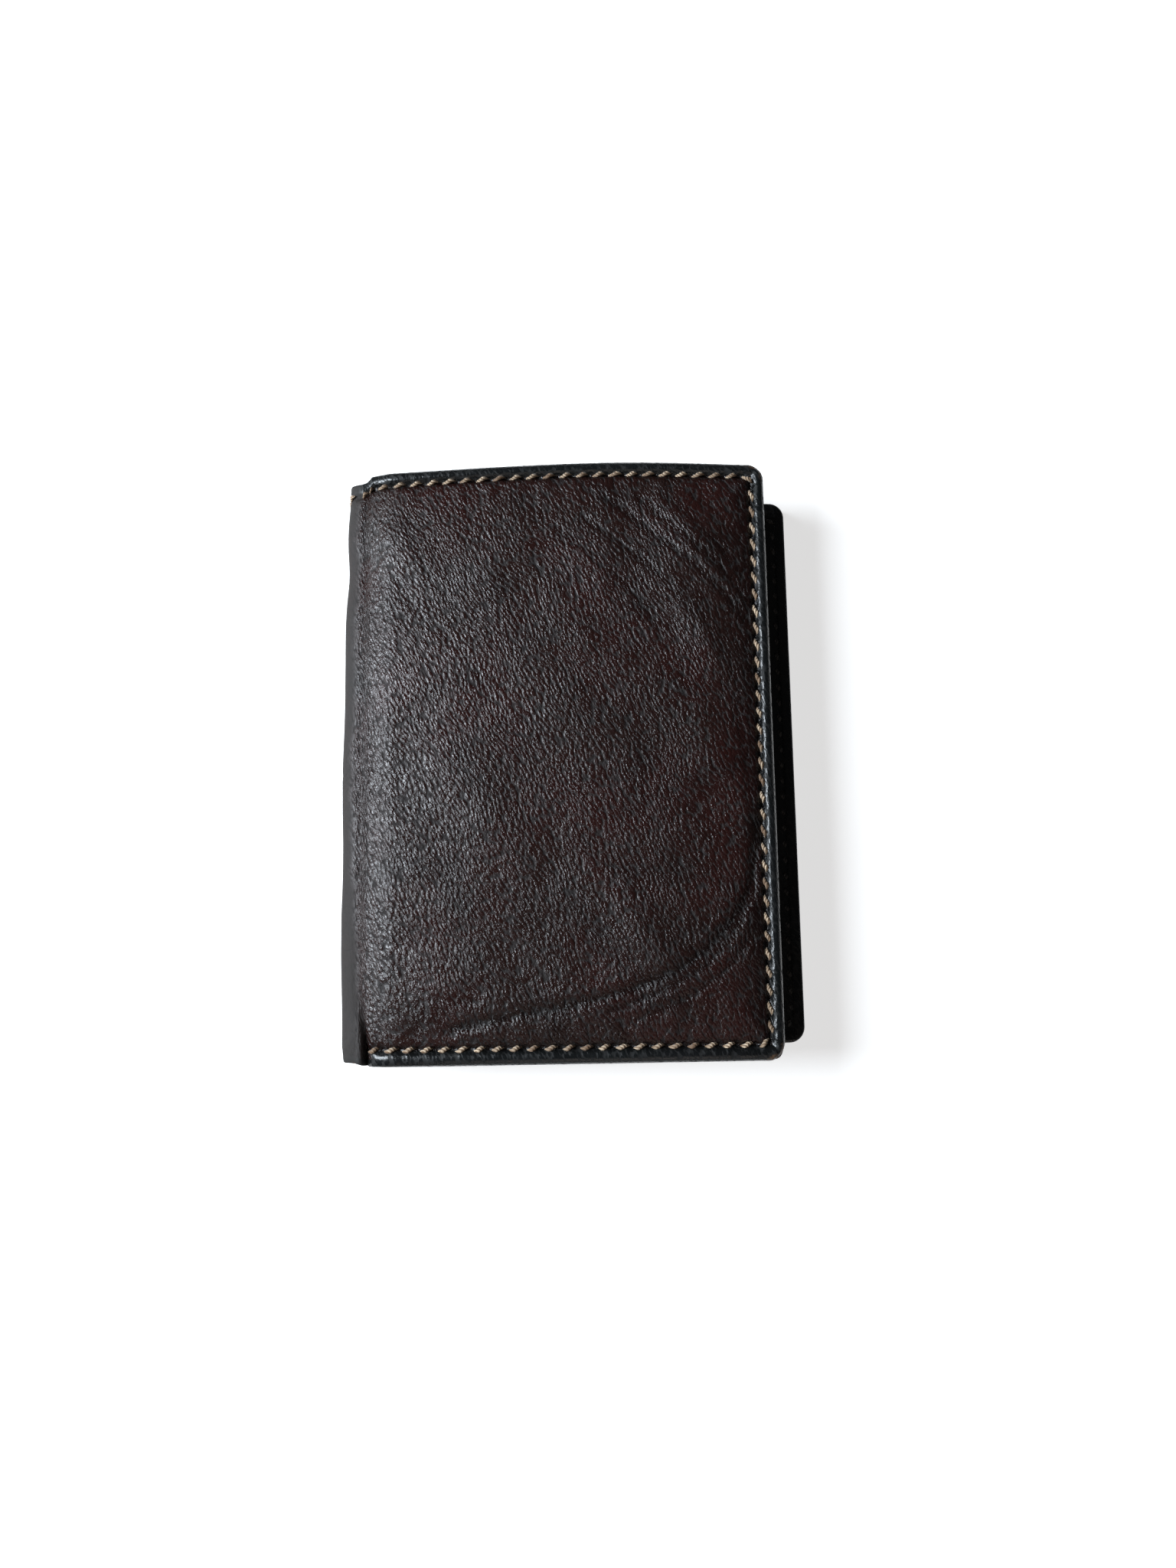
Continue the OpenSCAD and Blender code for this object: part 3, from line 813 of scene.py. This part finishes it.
# %% Front seam
sx, sy, heading = front_stitches
top_run = (heading > -np.pi / 4)
bottom_run = (heading < -3 * np.pi / 4)
side_run = ~(top_run | bottom_run)
for name, chosen in (("front_top_seam", top_run), ("front_side_seam", side_run),
                     ("front_bottom_seam", bottom_run)):
    row = stitches(name + "_thread", sx[chosen], sy[chosen], heading[chosen], front_base,
                   on_front)
    bends = name == "front_top_seam"
    finish_piece(row, ("fold", "front_flap", *bend_ends(True)) if bends else "front_flap",
                 "tan_thread", tan_thread,
                 replaced=[name, "fold_top_seam"] if bends else [name])

# %% [markdown]
# ## The back panel's leather
# The same hide carries on under the wallet. It lies on the table, so it is nearly flat, with
# its border lifted a little by the seam. It meets the front leather in the middle of the fold.

# %% Back leather
BACK_ROLL = 1.0
back_stitches = seam_path(flat_start, back_edge - seam_inset, back_half - seam_inset,
                          wide_turn_r, panel_x + 1.5)


def back_base(x, y):
    """How far the back leather's outside stands from the nominal surface, below the wallet."""
    on_fold = smooth((panel_x + 3 - x) / 6)
    d = edge_distance(x, y, back_edge, back_half)
    end = half_h - np.abs(y)
    sewn = -0.62 * np.exp(-np.maximum(d - seam_inset, 0) / 4.0)
    sewn = sewn + 0.2 * lip(d)
    sewn = sewn - 0.22 * bell((d - seam_inset) / 0.55)
    loose = -0.9 * np.exp(-end / 1.6)
    h = sewn * (1 - on_fold) + (loose + silhouette(y)) * on_fold
    h = h - (1 - on_fold) * 0.05 * (1 + ripple(x, y, 24, 31))
    return meet_on_wall(x, y, h)


def back_top(x, y):
    """The back leather's height with the dents of its stitches."""
    return back_base(x, y) - holes(x, y, back_stitches, 0.3)


across, down = seam_zones(back_edge, half_h)
gx = graded(flat_start, back_edge - BACK_ROLL, 0.8, 0.3, across)
gy = graded(-1, 1, 0.8 / back_half, 0.3 / back_half, [(-1, -0.92), (0.92, 1)])
x, share = grid(gx, gy)
reach = half_h + (back_half - half_h) * smooth((x - panel_x + 6) / 6)
x, y = round_corners(x, share * (reach - BACK_ROLL), flat_start, back_edge - BACK_ROLL,
                     back_half - BACK_ROLL, 0, 2.0)
top = back_top(x, y)
d = edge_distance(x, y, back_edge, reach)
bottom = underside(x, top, -1.95 + 0.45 * smooth((d - HEM_WIDTH) / 1.5))
points, faces = shell(x, y, top, bottom, BACK_ROLL, 7, fixed_start=True)
in_flat = points.copy()


def draw_in_fold(points):
    """Flat places on the back leather, with the fold's top end drawn in as the front's is."""
    flat = points.copy()
    on_fold = smooth((panel_x + 1 - points[:, 0]) / 7)
    flat[:, 1] -= smooth((points[:, 1] - 6) / 48) * 1.3 * on_fold
    flat[:, 0] = x_to_flat(points[:, 0])
    return flat


back_leather = make_mesh("back_leather", carry_round(draw_in_fold(points), False), faces,
                         in_flat, turned=True, wear_and_shade=leather_wear_and_shade(in_flat, back_edge, back_half),
                         cut=in_flat[:, 0] < flat_start + 1e-6)
finish_piece(back_leather, ("fold", "back", *bend_ends(False)), "outer_leather",
             outer_hide, edge_hide, flesh_hide,
             replaced=["back_outer_leather", "back_turned_edge", "fold_outer_leather"])
paint_border(back_leather, in_flat, faces, back_edge, back_half, seam_inset - 0.1, panel_x,
             (x.shape[0] - 1) * (x.shape[1] - 1))


# %% Back seam
def on_back(points):
    """Stitches in flat places carried on to the underside."""
    return carry_round(draw_in_fold(points), False)


px, py, turn = back_stitches
back_row = stitches("back_seam_thread", px, py, turn, back_base, on_back, size=0.9)
finish_piece(back_row, ("fold", "back", *bend_ends(False)), "tan_thread", tan_thread,
             replaced=["back_outer_seam"])

# %% [markdown]
# ## The flat sheets inside
# Panels and card pockets are single sheets with a burnished, half-round edge. Leather workers
# press a decorative line a little way in from a pocket's mouth with a hot creaser, and it
# shows as a fine groove. One function makes them all from the boxes of their nodes.

# %% Inner sheets
CREASER_INSET = 1.7


def sheet_piece(name, node, body, slot, material, face=1, low_r=0.8, high_r=0.8, mouth=False,
                shape=None, finishes=(), place=None):
    """A flat sheet in its node's box. face is 1 where its upper side shows, -1 for the lower."""
    low, high = node_box(node)
    thick = high[2] - low[2]
    roll = thick / 2
    middle_y, half = (low[1] + high[1]) / 2, (high[1] - low[1]) / 2
    gx = graded(low[0] + roll, high[0] - roll, 1.4, 0.4,
                [(low[0], low[0] + 3), (high[0] - 3, high[0])])
    gy = graded(roll - half, half - roll, 1.4, 0.3, [(-half, 3 - half), (half - 3, half)])
    x, y = grid(gx, gy)
    x, y = round_corners(x, y, low[0] + roll, high[0] - roll, half - roll, low_r, high_r)
    relief = 0.04 * (ripple(x, y + middle_y, 19, int(low[2] * 10)) - 1)
    if mouth:
        relief = relief - 0.13 * bell((half - CREASER_INSET - y) / 0.3)
    if shape is not None:
        relief = relief + shape(x, y + middle_y)
    top = high[2] + (relief if face > 0 else 0 * x)
    bottom = low[2] - (relief if face < 0 else 0 * x)
    points, faces = shell(x, y + middle_y, top, bottom, roll, 3)
    piece = make_mesh(name, points if place is None else place(points), faces, points)
    finish_piece(piece, body, slot, material, *finishes, replaced=[node])
    return piece, points, faces


pocket_sizes = ("tall", "middle", "short")
for size in pocket_sizes:
    sheet_piece(f"back_pocket_{size}", f"back_card_pocket_{size}", "back", "inner_leather",
                inner_hide, mouth=True)
    sheet_piece(f"front_pocket_{size}", f"front_card_pocket_{size}", "front_flap",
                "inner_leather", inner_hide, face=-1, mouth=True)

# %% [markdown]
# The back's inner panel is what shows beside the front flap: a black margin with the seam's
# second side on it, which turns the rounded corners. Its thread sits deep and is dark.

# %% Inner panels and their seams
strip_stitches = seam_path(panel_x + 2, back_edge - seam_inset, back_half - seam_inset,
                           wide_turn_r)


def strip_shape(x, y):
    """The margin puffs up beside its seam, and dips along it."""
    d = edge_distance(x, y, back_edge, back_half)
    return 0.12 * lip(d) - 0.25 * bell((d - seam_inset) / 0.5) - 0.1


back_panel, flat, faces = sheet_piece(
    "back_panel_inside", "back_inner_panel", "back", "inner_leather", inner_hide,
    high_r=2.6, shape=strip_shape, finishes=[edge_hide])
paint_border(back_panel, flat, faces, back_edge, back_half, 7.5)
panel_top = node_box("back_inner_panel")[1][2]
px, py, turn = strip_stitches
shown = px > node_box("inner_flap_hinge_tab")[1][0]
strip_row = stitches("back_inner_seam_thread", px[shown], py[shown], turn[shown],
                     lambda x, y: panel_top + strip_shape(x, y) - 0.12, lambda p: p, size=0.85)
finish_piece(strip_row, "back", "dark_thread", dark_thread, replaced=["back_inner_seam"])

front_panel_low = node_box("front_inner_panel")[0][2]


def front_inside_shape(x, y):
    """The front's inner panel dips along its seam."""
    d = edge_distance(x, y, front_edge, half_h)
    return -0.2 * bell((d - seam_inset) / 0.5)


sheet_piece("front_panel_inside", "front_inner_panel", "front_flap", "inner_leather",
            inner_hide, face=-1, high_r=1.2, shape=front_inside_shape, place=bow)
px, py, turn = seam_path(panel_x + 1.5, front_seam_x, front_seam_y, seam_turn_r)
mirror_down = np.array([1, 1, -1])
inside_row = stitches("front_inner_seam_thread", px, py, turn,
                      lambda x, y: 0 * x - 0.12,
                      lambda p: bow(p * mirror_down + [0, 0, front_panel_low]), size=0.8)
finish_piece(inside_row, "front_flap", "dark_thread", dark_thread)

# %% [markdown]
# ## The inner flap
# It is a panel of its own: outer leather with a rolled edge on the side that meets the front
# flap, and on the other side a window for an identity card, with clear film behind a leather
# frame. The frame's ring is a small rounded section carried round from the window to the
# outline, and both outlines are found along rays from the window's middle.

# %% Inner flap leather and seam
flap_low, flap_high = node_box("inner_flap_leather")
hem_low = node_box("inner_flap_turned_edge")[0][2]
flap_half = flap_high[1]
FLAP_ROLL = (flap_high[2] - hem_low) / 2 - 0.15


def flap_base(x, y):
    """The inner flap's upper surface: a low cushion inside its seam."""
    d = edge_distance(-x, y, -flap_low[0], flap_half)
    rise = 1 - np.exp(-np.maximum(d - seam_inset, 0) / 4)
    dip = 0.22 * bell((d - seam_inset) / 0.5)
    return flap_high[2] - 0.5 + 0.5 * rise + 0.2 * lip(d) - dip + 0.07 * ripple(x, y, 21, 41) * rise


gx = graded(flap_low[0] + FLAP_ROLL, flap_high[0] - FLAP_ROLL, 1.2, 0.3,
            [(flap_low[0], flap_low[0] + 4)])
gy = graded(FLAP_ROLL - flap_half, flap_half - FLAP_ROLL, 1.2, 0.3,
            [(-flap_half, 4 - flap_half), (flap_half - 4, flap_half)])
x, y = grid(gx, gy)
x, y = round_corners(x, y, flap_low[0] + FLAP_ROLL, flap_high[0] - FLAP_ROLL,
                     flap_half - FLAP_ROLL, 2.2, 0.3)
points, faces = shell(x, y, flap_base(x, y), 0 * x + hem_low, FLAP_ROLL, 5)
flap_leather = make_mesh("inner_flap_hide", points, faces)
finish_piece(flap_leather, "inner_flap", "outer_leather", outer_hide, edge_hide,
             replaced=["inner_flap_leather", "inner_flap_turned_edge"])
mirrored = points * [-1, 1, 1]
paint_border(flap_leather, mirrored, faces, -flap_low[0], flap_half, seam_inset - 0.1)
px, py, turn = seam_path(-flap_high[0] + 1.5, -flap_low[0] - seam_inset,
                         flap_half - seam_inset, wide_turn_r)
flap_row = stitches("inner_flap_seam_thread", -px, py, np.pi - turn, flap_base,
                    lambda p: p, size=0.85)
finish_piece(flap_row, "inner_flap", "tan_thread", tan_thread, replaced=["inner_flap_seam"])
sheet_piece("inner_flap_lining_leather", "inner_flap_pocket", "inner_flap", "inner_leather",
            inner_hide, face=-1, low_r=2.4, high_r=0.3)


# %% Window frame and film
def ray_length(inside, angle, longest=140.0):
    """How far each ray from the middle goes before it leaves a shape, by halving."""
    near, far = np.zeros(angle.size), np.full(angle.size, longest)
    for _ in range(40):
        middle = (near + far) / 2
        hit = inside(middle * np.cos(angle), middle * np.sin(angle))
        near, far = np.where(hit, middle, near), np.where(hit, far, middle)
    return near


def rounded_box(x, y, low, high, half, r):
    """Whether a point is inside a box with round corners."""
    mid, reach = (low + high) / 2, (high - low) / 2
    qx = np.maximum(np.abs(x - mid) - reach + r, 0)
    qy = np.maximum(np.abs(y) - half + r, 0)
    flat = (np.abs(x - mid) <= reach) & (np.abs(y) <= half)
    return flat & (qx * qx + qy * qy <= r * r)


frame_low, frame_high = node_box("window_frame")
film_low, film_high = node_box("window_film")
window_mid = (film_low[0] + film_high[0]) / 2
FILM_LAP = 3
window_half_w = (film_high[0] - film_low[0]) / 2 - FILM_LAP
window_half_h = film_high[1] - FILM_LAP
NOTCH_R = 8
CORNER_R = 2.5
RAYS = 720
SECTION = 20
angle = np.linspace(0, 2 * np.pi, RAYS, endpoint=False)
r_in = ray_length(lambda a, b: rounded_box(a, b, -window_half_w, window_half_w,
                                           window_half_h, CORNER_R)
                  | (a**2 + (b - window_half_h) ** 2 <= NOTCH_R**2), angle)
r_out = ray_length(lambda a, b: rounded_box(a, b, frame_low[0] - window_mid,
                                            frame_high[0] - window_mid, frame_high[1],
                                            CORNER_R),
                   angle)
frame_t = frame_high[2] - frame_low[2]
section = np.linspace(0, 2 * np.pi, SECTION, endpoint=False)
share = 0.5 + 0.5 * np.sign(np.cos(section)) * np.abs(np.cos(section)) ** 0.35
lift = np.sign(np.sin(section)) * np.abs(np.sin(section)) ** 0.5
reach = r_in[:, None] + (r_out - r_in)[:, None] * share
wx, wy = window_mid + reach * np.cos(angle)[:, None], reach * np.sin(angle)[:, None]
wz = frame_low[2] + frame_t / 2 + frame_t / 2 * lift + 0 * wx
points = np.stack([wx, wy, wz], 2).reshape(-1, 3)
ray, side = grid(np.arange(RAYS), np.arange(SECTION))
here, there = ray * SECTION, (ray + 1) % RAYS * SECTION
on = (side + 1) % SECTION
faces = np.stack([here + side, there + side, there + on, here + on], 2).reshape(-1, 4)
window = make_mesh("window_frame_leather", points, faces, turned=True)
finish_piece(window, "inner_flap", "inner_leather", inner_hide, replaced=["window_frame"])
sheet_piece("window_clear_film", "window_film", "inner_flap", "clear_film", vinyl, face=-1,
            low_r=1, high_r=1)

# %% [markdown]
# ## The inner flap's leather hinge
# A strip of thin leather is sewn to the back panel, rolls over and carries the flap. It is
# drawn flat and carried along its own path: straight, half round the hinge, and back.

# %% Hinge strip
hinge_x, hinge_z = roll_low[0], (roll_low[2] + roll_high[2]) / 2
roll_r = roll_high[0] - hinge_x
tab_low, tab_high = node_box("inner_flap_hinge_tab")
tab_run = hinge_x - tab_low[0]
strip_t = tab_high[2] - tab_low[2]


def roll_over(points):
    """Flat places on the strip carried along the tab and half round the hinge."""
    s, y, h = points.T
    turn = np.clip((s - tab_run) / roll_r, 0, np.pi)
    x = np.where(s < tab_run, tab_low[0] + s, hinge_x + (roll_r + h) * np.sin(turn))
    return np.stack([x, y, hinge_z - (roll_r + h) * np.cos(turn)], 1)


gs = np.concatenate([np.linspace(0.3, tab_run, 20)[:-1],
                     np.linspace(tab_run, tab_run + np.pi * roll_r, 22)])
gy = graded(-tab_high[1] + 0.4, tab_high[1] - 0.4, 1.5, 0.4, [(-99, -48), (48, 99)])
s, y = grid(gs, gy)
wave = 0.05 * ripple(s, y, 14, 51)
points, faces = shell(s, y, 0 * s - 0.02, 0 * s - strip_t + wave * (s < tab_run), 0.3, 3)
hinge_strip = make_mesh("inner_flap_hinge_strip", roll_over(points), faces, points)
finish_piece(hinge_strip, ("back", "inner_flap",
                           (hinge_x * MM, 0, (tab_high[2] + 0.1) * MM),
                           (hinge_x * MM, 0, (frame_low[2] + 0.1) * MM)), "inner_leather",
             inner_hide, replaced=["inner_flap_hinge_tab", "inner_flap_hinge_roll"])
tab_mid = (tab_low[0] + tab_high[0]) / 2
row_y = np.arange(-tab_high[1] + 2.5, tab_high[1] - 2, stitch_pitch)
tab_row = stitches("hinge_tab_seam_thread", 0 * row_y + tab_mid, row_y,
                   0 * row_y + np.pi / 2, lambda x, y: 0 * x + tab_high[2] - 0.15,
                   lambda p: p, size=0.8)
finish_piece(tab_row, "back", "dark_thread", dark_thread)


# %% [markdown]
# ## Cloth and felt inside the leather
# The banknote compartment is lined with thin woven cloth, cut to the panel and glued at its
# edges, and a felt board under the front leather gives it its soft crown.

# %% Linings and padding
def lining_piece(name, node, body):
    """A thin cloth laid in its node's box, with the soft waves that glue leaves."""
    low, high = node_box(node)
    gx = np.linspace(low[0] + 0.1, high[0] - 0.1, 60)
    gy = np.linspace(low[1] + 0.1, high[1] - 0.1, 80)
    x, y = grid(gx, gy)
    middle = (low[2] + high[2]) / 2 + 0.04 * ripple(x, y, 12, 61)
    points, faces = shell(x, y, middle + 0.1, middle - 0.1, 0.1, 1)
    cloth = make_mesh(name, points, faces)
    finish_piece(cloth, body, "lining_fabric", lining_cloth, replaced=[node])


lining_piece("back_lining_cloth", "back_lining", "back")
lining_piece("front_lining_cloth", "front_lining", "front_flap")

low, high = node_box("fold_lining")
CLOTH_TUCK = 1.6
tuck_r = panel_x - (low[0] + high[0]) / 2
wall_h = high[2] - low[2]


def inside_fold(points):
    """Flat places on the cloth carried up the fold's wall, with both ends tucked round."""
    s, y, h = points.T
    past = np.where(s < 0, s, np.maximum(s - wall_h, 0)) / tuck_r
    reach = tuck_r - h
    x = panel_x - reach * np.cos(past)
    return np.stack([x, y, low[2] + np.clip(s, 0, wall_h) + reach * np.sin(past)], 1)


s, y = grid(np.linspace(0.1 - CLOTH_TUCK, wall_h + CLOTH_TUCK - 0.1, 30),
            np.linspace(low[1] + 0.2, high[1] - 0.2, 90))
inner = 0.1 + 0.08 * ripple(s, y, 9, 71)
# The cloth lies on the hide's inner side, so it gives way wherever the hide sinks in.
beyond = np.maximum(s, wall_h - s) - wall_h
beyond = np.where(beyond > 0, beyond * fold_r / tuck_r, beyond) + panel_x - bend_run
cover = np.where(s > wall_h / 2, front_base(beyond, y), back_base(beyond, y))
inner = np.maximum(inner, tuck_r - fold_r + 0.23 - hide_inside(cover))
points, faces = shell(s, y, inner, inner - 0.2, 0.1, 1)
fold_cloth = make_mesh("fold_lining_cloth", inside_fold(points), faces, points, turned=True)
finish_piece(fold_cloth, "fold", "lining_fabric", lining_cloth, replaced=["fold_lining"])

low, high = node_box("front_padding")
PAD_ROLL = 0.7
x, y = grid(graded(low[0] + PAD_ROLL, high[0] - PAD_ROLL, 1.5, 0.6),
            graded(low[1] + PAD_ROLL, high[1] - PAD_ROLL, 1.5, 0.6))
d = np.minimum(np.minimum(x - low[0], high[0] - x), high[1] - np.abs(y))
pad_top = high[2] - 0.3 * np.exp(-d / 3) - 0.08 * (1 + ripple(x, y, 11, 81))
pad_top = np.minimum(pad_top, wallet_t - 1.25 + front_base(x, y))
points, faces = shell(x, y, pad_top, 0 * x + low[2] + 0.05, PAD_ROLL, 5)
pad = make_mesh("front_padding_felt", points, faces)
finish_piece(pad, "front_flap", "padding_felt", felt, replaced=["front_padding"])


# %% [markdown]
# ## Table, light and camera
# The wallet lies on a pale table by a window on its left. The window is a large soft cool
# light, low enough for the grain near the fold to catch it. A weak fill keeps the other side
# from going black. The camera is a phone's wide lens held above the wallet's lower end.

# %% Table
def plain_table():
    """A pale, barely uneven table top. It glows a little, as if the whole room lit it."""
    material, tree, shader = new_material("pale_table")
    place = add(tree, "ShaderNodeTexCoord").outputs["Object"]
    shade = noise(tree, place, 6.0, 2.0)
    tree.links.new(mix_colour(tree, shade, (0.83, 0.82, 0.8, 1), (0.87, 0.86, 0.85, 1)),
                   shader.inputs["Base Color"])
    shader.inputs["Roughness"].default_value = 0.7
    shader.inputs["Emission Color"].default_value = (1.0, 1.0, 1.0, 1)
    shader.inputs["Emission Strength"].default_value = 0.65
    mesh = bpy.data.meshes.new("table")
    reach = 3.0
    mesh.from_pydata([(-reach, -reach, 0), (reach, -reach, 0), (reach, reach, 0),
                      (-reach, reach, 0)], [], [(0, 1, 2, 3)])
    table = bpy.data.objects.new("table", mesh)
    table.data.materials.append(material)
    bpy.context.scene.collection.objects.link(table)


plain_table()


# %% Lights
def soft_light(name, place, size, power, colour):
    """A square area light at a place in metres, turned towards the wallet."""
    data = bpy.data.lights.new(name, "AREA")
    data.size = size
    data.energy = power
    data.color = colour
    light = bpy.data.objects.new(name, data)
    light.location = place
    towards = -light.location
    light.rotation_euler = towards.to_track_quat("-Z", "Y").to_euler()
    bpy.context.scene.collection.objects.link(light)


soft_light("window", (-0.37, 0.06, 0.33), 0.25, 4.3, (0.84, 0.92, 1.0))
soft_light("room_fill", (0.1, -0.75, 0.6), 0.6, 0.9, (1.0, 0.9, 0.84))
world = bpy.data.worlds.new("room")
world.use_nodes = True
sky = world.node_tree.nodes["Background"]
sky.inputs[0].default_value = (0.93, 0.95, 1.0, 1)
direct = add(world.node_tree, "ShaderNodeLightPath").outputs["Is Camera Ray"]
world.node_tree.links.new(remap(world.node_tree, direct, 0, 1, 0.025, 0.85), sky.inputs[1])
bpy.context.scene.world = world
bpy.context.scene.view_settings.view_transform = "Standard"

# %% Camera
camera_data = bpy.data.cameras.new("camera")
camera_data.lens = 25.5
camera_data.clip_start = 0.01
camera = bpy.data.objects.new("camera", camera_data)
camera.location = (-0.0012, -0.0328, 0.2153)
camera.rotation_mode = "AXIS_ANGLE"
turn = np.radians([7.88, -0.91, -0.87])
size = float(np.linalg.norm(turn))
camera.rotation_axis_angle = (size, *(turn / size))
bpy.context.scene.collection.objects.link(camera)
bpy.context.scene.camera = camera
